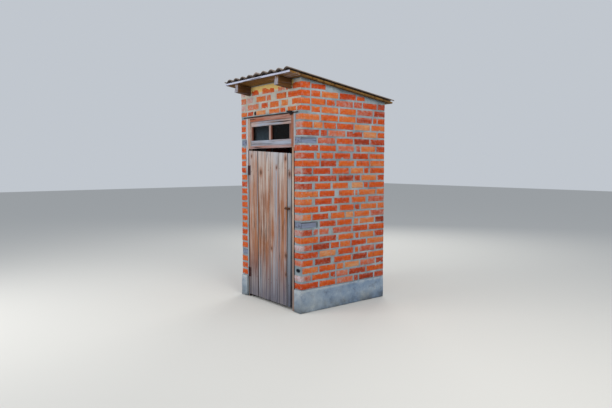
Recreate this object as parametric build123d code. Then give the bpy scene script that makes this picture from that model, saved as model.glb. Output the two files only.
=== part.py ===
from build123d import *
from math import asin, atan, cos, degrees, radians, sin, tan
import os

# A small brick outhouse with a boarded door, a two-light window over it and a corrugated lean-to roof.
# X runs to the right of someone who faces the door, Y into the building and Z up.
# The origin lies on the ground, at the centre of the brickwork's plan. All sizes are in millimetres.

# Brickwork
outside_width = 1165
outside_depth = 1250
wall_thickness = 115
brick_height = 65
bed_joint = 17
course_height = brick_height + bed_joint

# Concrete base
plinth_height = 250
plinth_front_step = 18
plinth_side_step = 6
floor_height = 60
floor_to_frame = 12

# Wooden blocks built into the brickwork to take the nails of the door frame
nog_length = 205
nog_left_lower_course = 3
nog_right_lower_course = 8
nog_courses_below_lintel = 4

# Door frame
frame_setback = 2
frame_side_gap = 16
frame_depth = 92
post_width = 49
hinge_rebate = 34
latch_rebate = 15
lintel_height = 2139
head_height = 48
window_height = 282
transom_height = 32

# Window sash over the door
sash_setback = 14
sash_thickness = 38
sash_top_rail = 58
sash_bottom_rail = 62
sash_stile_left = 27
sash_stile_right = 48
sash_mullion_width = 42
glass_thickness = 3
glass_setback = 20
glazing_depth = 7

# Lintel angle and the bent end of a bar beside it
lintel_leg = 50
lintel_steel = 8
lintel_proud = 9
lintel_bearing = 60
bar_eye_radius = 30
bar_eye_hole_radius = 14
bar_thickness = 14
bar_tail = 40
bar_from_corner = 170

# Door leaf
leaf_thickness = 28
hinge_side_gap = 5
latch_side_gap = 14
stop_gap = 6
leaf_bottom = 30
leaf_top_gap = 19
leaf_top_fall = 45
leaf_foot_taper = 30
plank_head_shares = (0.23, 0.30, 0.20, 0.19, 0.08)
plank_foot_shares = (0.24, 0.26, 0.21, 0.21, 0.08)
plank_joints = (7, 3, 2, 4, 0)
ledge_height = 110
ledge_thickness = 24
ledge_end_clearance = 32
lower_ledge_level = 210
upper_ledge_from_top = 171
brace_width = 95

# Butt hinges and the pull on the leaf
hinge_length = 112
hinge_fixed_flap = 17
hinge_moving_flap = 34
hinge_plate = 3
hinge_knuckle_radius = 7
hinge_pin_radius = 3.5
hinge_pin_clearance = 0.3
hinge_knuckle_gap = 1
upper_hinge_from_top = 233
lower_hinge_level = 302
hasp_length = 92
hasp_height = 24
hasp_steel = 4
hasp_level = 1114
hasp_from_edge = 8
pull_width = 52
pull_reach = 26
pull_steel = 4
pull_height = 14

# Roof
roof_pitch = 8
brickwork_over_lintel = 357
eave_overhang = 197
rear_overhang = 90
side_overhang = 50
rafter_width = 62
rafter_height = 100
rafter_from_wall_face = 156
rafter_end_setback = 14
board_width = 148
board_thickness = 22
board_gap = 7
wave_pitch = 140
wave_height = 38
sheet_thickness = 6
sheet_eave_overhang = 14
sheet_rear_overhang = 20
seat_gap = 0.3

# Places worked out from the sizes above
half_width = outside_width / 2
front_face = -outside_depth / 2
back_face = outside_depth / 2
inner_half = half_width - wall_thickness
frame_half = inner_half - frame_side_gap
half_opening = frame_half - post_width
frame_front = front_face + frame_setback
frame_top = lintel_height
transom_level = frame_top - head_height - window_height - transom_height
deck_level_at_front = lintel_height + brickwork_over_lintel
above_roof = deck_level_at_front + outside_width
lintel_course = round((lintel_height - plinth_height) / course_height)
nog_upper_course = lintel_course - nog_courses_below_lintel
leaf_front = frame_front
leaf_back = leaf_front + leaf_thickness
leaf_left = -half_opening - hinge_rebate + hinge_side_gap
leaf_right = half_opening + latch_rebate - latch_side_gap
leaf_width = leaf_right - leaf_left
leaf_top = transom_level - leaf_top_gap
upper_ledge_level = leaf_top - upper_ledge_from_top - ledge_height
upper_hinge_level = leaf_top - upper_hinge_from_top
hinge_x = leaf_left - hinge_side_gap / 2
hinge_y = leaf_front - hinge_knuckle_radius

# The plane of the roof boards' underside: x along the eave, y down the slope to the back, z out of the roof
roof = Plane(
    origin=(0, front_face, deck_level_at_front),
    x_dir=(1, 0, 0),
    z_dir=(0, tan(radians(roof_pitch)), 1),
)
slope_length = outside_depth / cos(radians(roof_pitch))
deck_half_width = half_width + side_overhang


def block(x_from, x_to, y_from, y_to, z_from, z_to):
    """A square-edged block between three pairs of limits."""
    size = (x_to - x_from, y_to - y_from, z_to - z_from)
    return Pos(x_from, y_from, z_from) * Box(*size, align=(Align.MIN, Align.MIN, Align.MIN))


def slab_in_depth(outline, y_from, y_to):
    """A slab whose outline is seen from the front, as pairs of x and z."""
    face = Plane.XZ * Polygon(*outline, align=None)
    return Pos(0, y_to, 0) * extrude(face, amount=y_to - y_from)


def course_level(course):
    """Height of the underside of a course, counted from zero on the concrete base."""
    return plinth_height + bed_joint / 2 + course * course_height


def roof_block(x_from, x_to, y_from, y_to, z_from, z_to):
    """A block laid out in the roof's own plane."""
    return roof.location * block(x_from, x_to, y_from, y_to, z_from, z_to)


def rafter(side):
    """A rafter on the left (-1) or right (1), from the eave to behind the back wall."""
    middle = side * (half_width - rafter_from_wall_face - rafter_width / 2)
    return roof_block(
        middle - rafter_width / 2,
        middle + rafter_width / 2,
        rafter_end_setback - eave_overhang,
        slope_length + rear_overhang - rafter_end_setback,
        -rafter_height,
        0,
    )


def roof_board(number):
    """One board across the rafters, counted from the eave."""
    start = number * (board_width + board_gap) - eave_overhang
    end = start + board_width
    return roof_block(-deck_half_width, deck_half_width, start, end, 0, board_thickness)


def nog(side, course):
    """A wooden block in the front end of a side wall, one course high."""
    outer = side * half_width
    inner = side * inner_half
    level = course_level(course)
    return block(
        min(outer, inner),
        max(outer, inner),
        front_face,
        front_face + nog_length,
        level,
        level + brick_height,
    )


def plinth_side(side):
    """The concrete under a side wall, a little proud of the brickwork."""
    outer = side * (half_width + plinth_side_step)
    inner = side * inner_half
    return block(
        min(outer, inner),
        max(outer, inner),
        front_face - plinth_front_step,
        back_face + plinth_side_step,
        0,
        plinth_height,
    )


def lintel_angle():
    """A steel angle over the door frame, a little proud in front, its upright leg inside the brickwork."""
    reach = inner_half + lintel_bearing
    flat_leg = block(-reach, reach, front_face - lintel_proud, front_face + lintel_leg,
                     lintel_height, lintel_height + lintel_steel)
    upright_from = front_face + lintel_leg - lintel_steel
    upright_leg = block(-reach, reach, upright_from, front_face + lintel_leg,
                        lintel_height, lintel_height + lintel_leg)
    return flat_leg + upright_leg


def bar_eye():
    """The end of a reinforcing bar beaten to an eye, its tail built into the joint above the lintel."""
    x = half_width - bar_from_corner
    z = lintel_height + lintel_steel + seat_gap
    centre = Pos(x, front_face - bar_eye_radius, z)
    upright = (Align.CENTER, Align.CENTER, Align.MIN)
    eye = centre * Cylinder(bar_eye_radius, bar_thickness, align=upright)
    tail = block(x - bar_thickness / 2, x + bar_thickness / 2,
                 front_face - bar_eye_radius, front_face + bar_tail, z, z + bar_thickness)
    return eye + tail - centre * Cylinder(bar_eye_hole_radius, bar_thickness, align=upright)


def over_the_roof_boards():
    """Everything above the underside of the roof boards."""
    reach = 2 * (outside_width + outside_depth)
    return roof_block(-reach, reach, -reach, reach, 0, reach)


def frame_post(side, rebate_width):
    """A post with a rebate on its front inner corner, which the door leaf shuts into."""
    outer = side * frame_half
    inner = side * half_opening
    cheek = side * (half_opening + rebate_width)
    rebate_back = frame_front + leaf_thickness + stop_gap
    post = block(min(outer, inner), max(outer, inner), frame_front, frame_front + frame_depth, 0, frame_top)
    rebate = block(min(inner, cheek), max(inner, cheek), frame_front, rebate_back,
                   0, transom_level)
    return post - rebate


def sash_parts():
    """The rails, stiles, mullion and panes of the window, which fill the frame above the transom."""
    front = frame_front + sash_setback
    back = front + sash_thickness
    bottom = transom_level + transom_height
    top = frame_top - head_height
    sill = bottom + sash_bottom_rail
    soffit = top - sash_top_rail
    left_jamb = sash_stile_left - half_opening
    right_jamb = half_opening - sash_stile_right
    mullion_left = (left_jamb + right_jamb - sash_mullion_width) / 2
    mullion_right = mullion_left + sash_mullion_width
    glass_front = front + glass_setback
    glass_back = glass_front + glass_thickness
    grooves = {}
    for name, start, end in (("left", left_jamb, mullion_left), ("right", mullion_right, right_jamb)):
        grooves[name] = block(start - glazing_depth, end + glazing_depth, glass_front, glass_back,
                              sill - glazing_depth, soffit + glazing_depth)
    wood = {
        "sash_bottom_rail": block(-half_opening, half_opening, front, back, bottom, sill),
        "sash_top_rail": block(-half_opening, half_opening, front, back, soffit, top),
        "sash_stile_left": block(-half_opening, left_jamb, front, back, sill, soffit),
        "sash_stile_right": block(right_jamb, half_opening, front, back, sill, soffit),
        "sash_mullion": block(mullion_left, mullion_right, front, back, sill, soffit),
    }
    parts = {name: piece - grooves["left"] - grooves["right"] for name, piece in wood.items()}
    parts["window_pane_left"] = grooves["left"]
    parts["window_pane_right"] = grooves["right"]
    return parts


def leaf_top_at(x):
    """Height of the leaf's top edge, which falls towards the latch side."""
    return leaf_top - leaf_top_fall * (x - leaf_left) / leaf_width


def leaf_right_at(z):
    """Where the leaf's latch edge is at a height. It draws in towards the foot."""
    return leaf_right - leaf_foot_taper * (leaf_top - z) / (leaf_top - leaf_bottom)


def door_planks():
    """Upright planks of unequal and tapering width, side by side, cut to one slanting line at the top."""
    planks = {}
    head = leaf_left
    foot = leaf_left
    foot_width = leaf_width - leaf_foot_taper
    widths = zip(plank_head_shares, plank_foot_shares, plank_joints)
    for number, (head_share, foot_share, joint) in enumerate(widths, start=1):
        head_end = head + head_share * leaf_width
        foot_end = foot + foot_share * foot_width
        outline = [
            (foot, leaf_bottom),
            (foot_end - joint, leaf_bottom),
            (head_end - joint, leaf_top_at(head_end - joint)),
            (head, leaf_top_at(head)),
        ]
        planks[f"door_plank_{number}"] = slab_in_depth(outline, leaf_front, leaf_back)
        head = head_end
        foot = foot_end
    return planks


def door_ledges():
    """Two ledges and a diagonal brace across the back of the planks."""
    left = ledge_end_clearance - half_opening
    right = half_opening - ledge_end_clearance
    front = leaf_back
    back = leaf_back + ledge_thickness
    lower_top = lower_ledge_level + ledge_height
    upper_top = upper_ledge_level + ledge_height
    brace = [
        (left, lower_top),
        (left + brace_width, lower_top),
        (right, upper_ledge_level),
        (right - brace_width, upper_ledge_level),
    ]
    return {
        "door_ledge_lower": block(left, right, front, back, lower_ledge_level, lower_top),
        "door_ledge_upper": block(left, right, front, back, upper_ledge_level, upper_top),
        "door_brace": slab_in_depth(brace, front, back),
    }


def knuckle(level, length, radius):
    """An upright cylinder on the hinge axis, standing on a level."""
    upright = (Align.CENTER, Align.CENTER, Align.MIN)
    return Pos(hinge_x, hinge_y, level) * Cylinder(radius, length, align=upright)


def hinge(level):
    """A butt hinge screwed to the front of post and leaf: the flap with the pin, and the turning flap."""
    third = hinge_length / 3
    bottom = level - hinge_length / 2
    top = bottom + hinge_length
    middle_from = bottom + third + hinge_knuckle_gap / 2
    middle_length = third - hinge_knuckle_gap
    plate_front = leaf_front - hinge_plate
    clear_of_axis = hinge_knuckle_radius / 2
    fixed = block(hinge_x - hinge_fixed_flap, hinge_x - clear_of_axis, plate_front, leaf_front, bottom, top)
    end_length = third - hinge_knuckle_gap / 2
    fixed += knuckle(bottom, end_length, hinge_knuckle_radius)
    fixed += knuckle(top - end_length, end_length, hinge_knuckle_radius)
    room = hinge_knuckle_radius + hinge_pin_clearance
    fixed -= knuckle(middle_from - hinge_knuckle_gap / 2, middle_length + hinge_knuckle_gap, room)
    fixed += knuckle(bottom, hinge_length, hinge_pin_radius)
    moving = block(hinge_x + clear_of_axis, hinge_x + hinge_moving_flap, plate_front, leaf_front, bottom, top)
    moving -= knuckle(bottom, hinge_length, room)
    web = block(hinge_x, hinge_x + hinge_knuckle_radius + hinge_plate, plate_front, leaf_front,
                middle_from, middle_from + middle_length)
    moving += knuckle(middle_from, middle_length, hinge_knuckle_radius) + web
    moving -= knuckle(bottom, hinge_length, hinge_pin_radius + hinge_pin_clearance)
    return fixed, moving


def hasp():
    """A flat steel strap on the leaf, with a bent strip on it to pull the door by."""
    right = leaf_right_at(hasp_level) - hasp_from_edge
    left = right - hasp_length
    front = leaf_front - hasp_steel
    middle = (left + right) / 2
    strap = block(left, right, front, leaf_front, hasp_level - hasp_height / 2, hasp_level + hasp_height / 2)
    tip = front - pull_reach
    inside = pull_width / 2 - pull_steel
    bottom = hasp_level - pull_height / 2
    top = hasp_level + pull_height / 2
    pull = block(middle - pull_width / 2, middle + pull_width / 2, tip, front, bottom, top)
    outer_bends = pull.edges().filter_by(Axis.Z).group_by(Axis.Y)[0]
    pull = fillet(outer_bends, 2 * pull_steel)
    hollow = block(middle - inside, middle + inside, tip + pull_steel, front, bottom, top)
    inner_bends = hollow.edges().filter_by(Axis.Z).group_by(Axis.Y)[0]
    return strap + (pull - fillet(inner_bends, pull_steel))


def wave_arc(number, offset):
    """One half wave of a sheet as an arc moved off mid-thickness by an offset. Even numbers are valleys."""
    rise = (wave_height - sheet_thickness) / 2
    quarter = wave_pitch / 4
    radius = (quarter ** 2 + rise ** 2) / (2 * rise)
    half_angle = asin(quarter / radius)
    middle_x = quarter + number * wave_pitch / 2
    sign = -1 if number % 2 == 0 else 1
    arc_radius = radius + sign * offset
    centre_z = sign * (rise - radius)
    end_x = arc_radius * sin(half_angle)
    end_z = centre_z + sign * arc_radius * cos(half_angle)
    return ThreePointArc(
        (middle_x - end_x, end_z),
        (middle_x, centre_z + sign * arc_radius),
        (middle_x + end_x, end_z),
    )


def corrugated_sheet(half_waves):
    """A sheet of round waves, starting with a valley, drawn across the slope and run down it."""
    top = [wave_arc(number, sheet_thickness / 2) for number in range(half_waves)]
    bottom = [wave_arc(number, -sheet_thickness / 2) for number in range(half_waves)]
    ends = [Line(top[0] @ 0, bottom[0] @ 0), Line(top[-1] @ 1, bottom[-1] @ 1)]
    section = make_face(top + bottom + ends)
    length = sheet_eave_overhang + eave_overhang + slope_length + rear_overhang + sheet_rear_overhang
    sheet = extrude(Plane.XZ * section, amount=-length)
    seat = board_thickness + seat_gap + wave_height / 2
    return Pos(0, -eave_overhang - sheet_eave_overhang, seat) * sheet


def roof_sheets():
    """Two sheets side by side. The right one laps the last wave of the left one and leans on it."""
    waves = round(2 * deck_half_width / wave_pitch)
    left_half_waves = 2 * ((waves + 2) // 2)
    right_half_waves = 2 * (waves + 1) - left_half_waves
    rise = (wave_height - sheet_thickness) / 2
    quarter = wave_pitch / 4
    steepest = asin(quarter * 2 * rise / (quarter ** 2 + rise ** 2))
    lift = sheet_thickness / cos(steepest) + seat_gap
    start = -waves * wave_pitch / 2
    left_sheet = Pos(start, 0, 0) * corrugated_sheet(left_half_waves)
    right_sheet = corrugated_sheet(right_half_waves)
    last_valley = (right_half_waves - 1.5) * wave_pitch / 2
    lap_end = wave_pitch
    lean = degrees(atan(lift / (last_valley - lap_end)))
    pivot = Pos(last_valley, 0, board_thickness + seat_gap)
    leaned = pivot * Rot(0, lean, 0) * pivot.inverse() * right_sheet
    right_start = start + (left_half_waves - 2) * wave_pitch / 2
    return roof.location * left_sheet, roof.location * (Pos(right_start, 0, 0) * leaned)


rafters = {"rafter_left": rafter(-1), "rafter_right": rafter(1)}
nogs = {
    "nog_left_lower": nog(-1, nog_left_lower_course),
    "nog_left_upper": nog(-1, nog_upper_course),
    "nog_right_lower": nog(1, nog_right_lower_course),
    "nog_right_upper": nog(1, nog_upper_course),
}
angle = lintel_angle()
eye = bar_eye()
cap = over_the_roof_boards()

back_wall_front = back_face - wall_thickness
front_wall_back = front_face + wall_thickness

wall_left = block(-half_width, -inner_half, front_face, back_face, plinth_height, above_roof) - cap - angle
wall_left = wall_left - nogs["nog_left_lower"] - nogs["nog_left_upper"]
wall_right = block(inner_half, half_width, front_face, back_face, plinth_height, above_roof) - cap - angle
wall_right = wall_right - nogs["nog_right_lower"] - nogs["nog_right_upper"]
wall_back = block(-inner_half, inner_half, back_wall_front, back_face, plinth_height, above_roof) - cap
wall_over_door = block(-inner_half, inner_half, front_face, front_wall_back, lintel_height, above_roof)
wall_over_door = wall_over_door - cap - angle - eye
for beam in rafters.values():
    wall_back = wall_back - beam
    wall_over_door = wall_over_door - beam

pieces = {
    "plinth_left": plinth_side(-1),
    "plinth_right": plinth_side(1),
    "plinth_back": block(-inner_half, inner_half, back_wall_front, back_face + plinth_side_step,
                         0, plinth_height),
    "floor_slab": block(-inner_half, inner_half, frame_front + frame_depth + floor_to_frame,
                        back_wall_front, 0, floor_height),
    "wall_left": wall_left,
    "wall_right": wall_right,
    "wall_back": wall_back,
    "wall_over_door": wall_over_door,
    "lintel_angle": angle,
    "lintel_bar_eye": eye,
    "frame_post_left": frame_post(-1, hinge_rebate),
    "frame_post_right": frame_post(1, latch_rebate),
}
pieces["frame_head"] = block(-half_opening, half_opening, frame_front, frame_front + frame_depth,
                             frame_top - head_height, frame_top)
pieces["frame_transom"] = block(-half_opening, half_opening, frame_front, frame_front + frame_depth,
                                transom_level, transom_level + transom_height)
pieces.update(nogs)
pieces.update(sash_parts())
pieces.update(rafters)

board_run = eave_overhang + slope_length + rear_overhang
board_count = int((board_run + board_gap) // (board_width + board_gap))
pieces["eave_board"] = roof_board(0)
pieces["roof_boards"] = Compound(children=[roof_board(number) for number in range(1, board_count)])
pieces["roof_sheet_left"], pieces["roof_sheet_right"] = roof_sheets()

pieces.update(door_planks())
pieces.update(door_ledges())
pieces["hinge_upper_fixed"], pieces["hinge_upper_moving"] = hinge(upper_hinge_level)
pieces["hinge_lower_fixed"], pieces["hinge_lower_moving"] = hinge(lower_hinge_level)
pieces["door_hasp"] = hasp()

os.makedirs("parts", exist_ok=True)
for name, piece in pieces.items():
    export_step(piece, f"parts/{name}.step")
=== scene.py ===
import math
import random

import bmesh
import bpy
import numpy as np
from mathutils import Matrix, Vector


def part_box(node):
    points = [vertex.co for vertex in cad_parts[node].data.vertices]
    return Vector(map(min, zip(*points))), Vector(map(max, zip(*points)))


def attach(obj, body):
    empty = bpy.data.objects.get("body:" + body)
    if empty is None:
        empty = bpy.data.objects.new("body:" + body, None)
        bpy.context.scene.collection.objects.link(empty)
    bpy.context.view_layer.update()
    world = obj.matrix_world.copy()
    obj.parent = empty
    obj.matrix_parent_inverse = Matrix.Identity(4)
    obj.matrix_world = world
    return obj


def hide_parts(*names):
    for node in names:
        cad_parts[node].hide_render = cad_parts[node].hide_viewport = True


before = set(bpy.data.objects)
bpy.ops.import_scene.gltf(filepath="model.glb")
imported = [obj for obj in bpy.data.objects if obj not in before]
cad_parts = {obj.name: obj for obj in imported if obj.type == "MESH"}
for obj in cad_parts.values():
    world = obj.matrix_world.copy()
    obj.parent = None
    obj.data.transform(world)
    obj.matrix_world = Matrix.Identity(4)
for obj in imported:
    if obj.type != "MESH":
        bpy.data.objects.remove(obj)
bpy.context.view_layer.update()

# Sizes in metres, in the frame's own axes: X right, Y into the building, Z up
BRICK_HEIGHT = 0.065
BRICK_LENGTH = 0.250
JOINT = 0.017
COURSE = BRICK_HEIGHT + JOINT
BRICK_PROUD = 0.004
BRICK_ARRIS = 0.0048
# How deep a brick's faces wear and its rims are chipped, and how long those lumps and chips are
FACE_WEAR = 0.0016
FACE_LUMP = 0.035
CHIP_DEPTH = 0.007
CHIP_LENGTH = 0.018
# How finely the surfaces of bricks and mortar are divided
BRICK_CELL = 0.026
MORTAR_CELL = 0.0075
LINTEL_COURSE = 23
LAST_COURSE = 27
# The hole at the right pier's corner, whose mortar is painted dark as shade: its course, and how far the
# brick behind it stands back
HOLE_COURSE = 2
HOLE_RECESS = 0.014
# The slot between the lintel and the bricks over it, whose mortar is painted dark as shade
LINTEL_SLOT = 0.014
# How far the front bricks stop short of the pier's inner edge beside the window
SHORT_OF_WINDOW = 0.018
# How far the mortar laps over the frame posts
OVER_POST = 0.004
# The gap of a brick or of the mortar to the roof boards, the joint beside a rafter, and a rafter's depth
UNDER_DECK = 0.004
MORTAR_UNDER_DECK = 0.003
RAFTER_JOINT = 0.008
RAFTER_DEPTH = 0.104
# How far a course or a brick may be out of true, either way
OUT_OF_TRUE = 0.0015
# Points closer than this count as one
TOUCHING = 1e-5
# The least length that anything is divided by
TINY = 1e-9

INNER_HALF, FRONT_FACE, BASE_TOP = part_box("wall_right")[0]
RIGHT_FACE, BACK_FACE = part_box("wall_right")[1][:2]
LEFT_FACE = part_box("wall_left")[0].x
WALL = RIGHT_FACE - INNER_HALF
FRONT_BRICKS = (FRONT_FACE - BRICK_PROUD, FRONT_FACE + WALL + BRICK_PROUD)
BACK_BRICKS = (BACK_FACE - WALL - BRICK_PROUD, BACK_FACE + BRICK_PROUD)
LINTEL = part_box("lintel_angle")
LINTEL_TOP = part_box("wall_over_door")[0].z
LEAF_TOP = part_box("door_plank_1")[1].z
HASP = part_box("door_hasp")
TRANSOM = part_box("frame_transom")[0].z
FRAME_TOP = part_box("frame_head")[1].z
FRAME_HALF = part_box("frame_post_right")[1].x
LEFT_STILE_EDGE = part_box("sash_stile_left")[1].x
MULLION_MIDDLE = (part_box("sash_mullion")[0].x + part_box("sash_mullion")[1].x) / 2
# Old lime beside the left post ends here, and the bricks below reach the post
LIME_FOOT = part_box("hinge_upper_fixed")[0].z
NOG_NODES = ("nog_left_lower", "nog_left_upper", "nog_right_lower", "nog_right_upper")
NOGS = [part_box(node) for node in NOG_NODES]
LOWER_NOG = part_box("nog_right_lower")
rng = random.Random(41)


def corner_top(y):
    """Height of the right wall's outer top corner at its front or back face."""
    points = [v.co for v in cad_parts["wall_right"].data.vertices]
    near = 1e-4
    return max(p.z for p in points if abs(p.x - RIGHT_FACE) < near and abs(p.y - y) < near)


DECK_AT_FRONT = corner_top(FRONT_FACE)
ROOF_FALL = (DECK_AT_FRONT - corner_top(BACK_FACE)) / (BACK_FACE - FRONT_FACE)


def deck_height(y):
    """Underside of the roof boards."""
    return DECK_AT_FRONT - (y - FRONT_FACE) * ROOF_FALL


def course_bottom(course):
    """Underside of a course's bricks, counted from the base up."""
    return BASE_TOP + JOINT / 2 + course * COURSE


# Knots in the leaf: place across, height and size
KNOTS = (
    (0.300, 1.655, 0.042),
    (-0.375, 1.690, 0.030),
    (0.130, 1.560, 0.030),
    (0.372, 1.490, 0.044),
    (0.030, 0.640, 0.040),
    (0.300, 0.590, 0.044),
    (0.300, 0.380, 0.030),
    (-0.180, 1.500, 0.050),
)
# How wide the painted shade is that darkens the seams to the right of each plank
SEAMS = (0.0085, 0.0035, 0.0045, 0.0075)
# Streaks in the leaf that rain has washed to a cold grey: place across, lowest and highest point, half width
WASHED = (
    (0.128, 0.90, 1.75, 0.017),
    (-0.205, 0.02, 0.56, 0.040),
    (0.075, 0.05, 0.80, 0.022),
    (-0.262, 0.70, 1.60, 0.010),
)

# Fired clay from burnt to pale
CLAY = (
    (0.00, (0.080, 0.024, 0.018)),
    (0.22, (0.235, 0.030, 0.011)),
    (0.42, (0.375, 0.044, 0.009)),
    (0.60, (0.460, 0.068, 0.011)),
    (0.75, (0.500, 0.108, 0.021)),
    (0.88, (0.490, 0.160, 0.048)),
    (1.00, (0.520, 0.250, 0.110)),
)
SOOT = (0.090, 0.026, 0.016)
CLAY_BLOOM = (0.410, 0.190, 0.150)
MORTAR_FILM = (0.360, 0.310, 0.300)
MORTAR_SMEAR = (0.470, 0.430, 0.500)

MORTAR_DARK = (0.150, 0.188, 0.215)
MORTAR_PALE = (0.310, 0.370, 0.410)
MORTAR_STAIN = (0.255, 0.235, 0.195)
MORTAR_SAND = (0.100, 0.095, 0.090)
EARTHY = (0.560, 0.475, 0.370)
YELLOW_EARTH = (0.570, 0.395, 0.125)
LIME = (0.500, 0.450, 0.480)
# Painted shade for hollows in the mortar
HOLLOW_SHADE = (0.006, 0.009, 0.016)

CONCRETE = (
    (0.30, (0.090, 0.125, 0.180)),
    (0.46, (0.170, 0.240, 0.345)),
    (0.58, (0.240, 0.310, 0.400)),
    (0.70, (0.360, 0.410, 0.450)),
)
CONCRETE_STAIN = (0.120, 0.112, 0.105)
CONCRETE_RIM = (0.430, 0.470, 0.510)
CONCRETE_FRONT = (0.310, 0.350, 0.370)
CONCRETE_CORNER = (0.460, 0.490, 0.510)
CONCRETE_SAND = (0.080, 0.085, 0.090)
DAMP_FOOT = (0.060, 0.056, 0.044)

CRACK = (0.012, 0.009, 0.008)
COOL_STREAK = (0.235, 0.255, 0.305)
PALE_HEAD = (0.420, 0.380, 0.365)
RAINED_HEAD = (0.420, 0.430, 0.480)
STRIP_DARK = (0.115, 0.150, 0.195)
STRIP_PALE = (0.225, 0.265, 0.310)
LEAF_FOOT = (0.080, 0.084, 0.122)
WASHED_GREY = (0.275, 0.305, 0.365)
KNOT_RING = (0.250, 0.090, 0.036)
KNOT_HEART = (0.060, 0.026, 0.015)
RUST_STAIN = (0.120, 0.062, 0.034)
# Painted shade for the seams between the door's planks
SEAM_SHADE = (0.040, 0.024, 0.018)
HINGE_GAP_SHADE = (0.026, 0.016, 0.018)
JAMB_RED = ((0.200, 0.066, 0.038), (0.400, 0.150, 0.080))
JAMB_FOOT = (0.150, 0.130, 0.140)
# Painted shade for the right post's side beside the bricks
JAMB_SIDE_SHADE = (0.026, 0.013, 0.012)
RAIL_ENDS = ((0.300, 0.160, 0.110), (0.480, 0.350, 0.300))
OLD_PAINT = (0.230, 0.062, 0.032)

SHEET = (
    (0.30, (0.045, 0.032, 0.024)),
    (0.50, (0.105, 0.080, 0.065)),
    (0.72, (0.200, 0.170, 0.150)),
)
# Painted highlight on the sheets' crests
SHEET_CREST_HIGHLIGHT = (0.430, 0.370, 0.350)
LICHEN = (0.300, 0.290, 0.200)
MOSS = (0.035, 0.050, 0.014)
CLEAN_GLASS = (0.003, 0.003, 0.003)


class Tint:
    """A number, colour or vector of a finish, written as arithmetic on its socket."""

    def __init__(self, finish, socket):
        self.finish = finish
        self.socket = socket

    def step(self, operation, *terms):
        """One arithmetic step on sockets and plain numbers."""
        return self.finish.add("ShaderNodeMath", {"operation": operation}, dict(enumerate(terms)))

    def __add__(self, other):
        return self.step("ADD", self, other)

    def __radd__(self, other):
        return self.step("ADD", other, self)

    def __sub__(self, other):
        return self.step("SUBTRACT", self, other)

    def __rsub__(self, other):
        return self.step("SUBTRACT", other, self)

    def __mul__(self, other):
        return self.step("MULTIPLY", self, other)

    def __rmul__(self, other):
        return self.step("MULTIPLY", other, self)

    def __abs__(self):
        return self.step("ABSOLUTE", self)

    def above(self, low, high):
        """0 below low, 1 over high and an even rise between."""
        ends = {"Value": self, "From Min": low, "From Max": high}
        return self.finish.add("ShaderNodeMapRange", {"clamp": True}, ends)

    def clamped(self):
        return self.finish.add("ShaderNodeClamp", {}, {"Value": self})


class Finish:
    """A material under construction. What varies over a surface is made of Tints."""

    def __init__(self, name):
        self.material = bpy.data.materials.new(name)
        self.material.use_nodes = True
        self.tree = self.material.node_tree
        self.shader = self.tree.nodes["Principled BSDF"]
        self.place = self.add("ShaderNodeTexCoord", {}, {}, "Object")
        self.colour = None

    def add(self, kind, settings, values, output=0):
        """Adds a node, sets it, then fills or links its sockets, and gives one of its outputs."""
        node = self.tree.nodes.new(kind)
        for key, value in settings.items():
            if key == "stops":
                self.set_stops(node.color_ramp, value)
            else:
                setattr(node, key, value)
        for key, value in values.items():
            self.feed(node.inputs[key], value)
        return Tint(self, node.outputs[output])

    def set_stops(self, ramp, stops):
        while len(ramp.elements) < len(stops):
            ramp.elements.new(1.0)
        for element, (position, colour) in zip(ramp.elements, stops):
            element.position = position
            element.color = (*colour, 1.0)

    def feed(self, socket, value):
        """Links a Tint to a socket, or sets the socket to a number, a colour or a vector."""
        if isinstance(value, Tint):
            self.tree.links.new(value.socket, socket)
        elif socket.type == "RGBA":
            socket.default_value = (*value, 1.0)
        else:
            socket.default_value = value

    def vector_step(self, operation, *terms, output=0):
        """One step of vector arithmetic."""
        return self.add("ShaderNodeVectorMath", {"operation": operation}, dict(enumerate(terms)), output)

    def stretched(self, x, y, z):
        """The place on the piece, scaled by axis, so that grain runs along the smallest number."""
        return self.vector_step("MULTIPLY", self.place, (x, y, z))

    def noise(self, scale, detail, roughness, place=None, seed=0.0, distortion=0.0):
        values = {"Vector": place or self.place, "W": seed, "Scale": scale, "Detail": detail}
        values |= {"Roughness": roughness, "Distortion": distortion}
        return self.add("ShaderNodeTexNoise", {"noise_dimensions": "4D"}, values, "Fac")

    def cells(self, scale):
        """How far each place is from the middle of its cell."""
        values = {"Vector": self.place, "Scale": scale}
        return self.add("ShaderNodeTexVoronoi", {"feature": "F1"}, values, "Distance")

    def mark(self, name):
        """A number kept on the mesh itself, such as each brick's own tone."""
        return self.add("ShaderNodeAttribute", {"attribute_name": name}, {}, "Fac")

    def ramp(self, value, stops):
        return self.add("ShaderNodeValToRGB", {"stops": stops}, {"Fac": value})

    def blend(self, factor, first, second):
        return self.add("ShaderNodeMix", {"data_type": "RGBA"}, {0: factor, 6: first, 7: second}, 2)

    def coat(self, mask, colour):
        """Lays a colour over what is there, as thickly as a mask says."""
        self.colour = self.blend(mask, self.colour, colour)

    def coordinate(self, axis):
        return self.add("ShaderNodeSeparateXYZ", {}, {0: self.place}, axis)

    def across(self):
        """How far to the right."""
        return self.coordinate("X")

    def depth(self):
        """How far into the building."""
        return self.coordinate("Y")

    def height(self):
        """Height above the ground."""
        return self.coordinate("Z")

    def relief(self, height, distance):
        return self.add("ShaderNodeBump", {}, {"Height": height, "Distance": distance, "Strength": 1.0})

    def finish(self, roughness, specular, **others):
        """Feeds the colour and the other values to the shader, and gives the material."""
        others |= {"Base Color": self.colour, "Roughness": roughness, "Specular IOR Level": specular}
        for name, value in others.items():
            self.feed(self.shader.inputs[name], value)
        return self.material


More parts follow.
